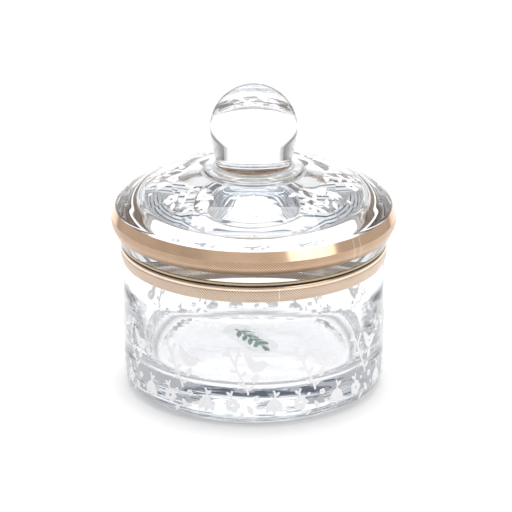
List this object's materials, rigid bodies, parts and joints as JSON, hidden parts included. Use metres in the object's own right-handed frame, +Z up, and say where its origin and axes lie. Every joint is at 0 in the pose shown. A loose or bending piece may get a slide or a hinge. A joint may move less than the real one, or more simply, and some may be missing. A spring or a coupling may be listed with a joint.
{
  "type": "lidded glass dish",
  "caption": "Round clear glass dish with a lift-off domed lid, a solid ball knob, gold-banded rims and a white printed border, for small amounts of liquid, powder or sweets.",
  "frame": {"origin": "centre of the foot, on the table", "axes": "+Z up along the dish's axis of revolution, towards the knob; the label lies towards +Y"},
  "size_m": [0.1138, 0.1138, 0.1246],
  "materials": {
    "clear_glass": "polished",
    "gold": "fired champagne gold, lightly grained",
    "white_enamel": "fired matt white enamel",
    "label_film": "clear gloss film",
    "label_ink": "matt ink"
  },
  "bodies": {
    "bowl": {"bowl": "clear_glass", "bowl_gold_band": "gold", "bowl_print": "white_enamel", "base_label": "label_film", "label_print": "label_ink"},
    "lid": {"lid": "clear_glass", "lid_gold_band": "gold", "lid_print": "white_enamel", "lid_knob": "clear_glass"}
  },
  "joints": [
    {"name": "lid_lift", "type": "slide", "parent": "bowl", "child": "lid", "axis": [0, 0, 1], "range_m": [0, 0.08]}
  ]
}
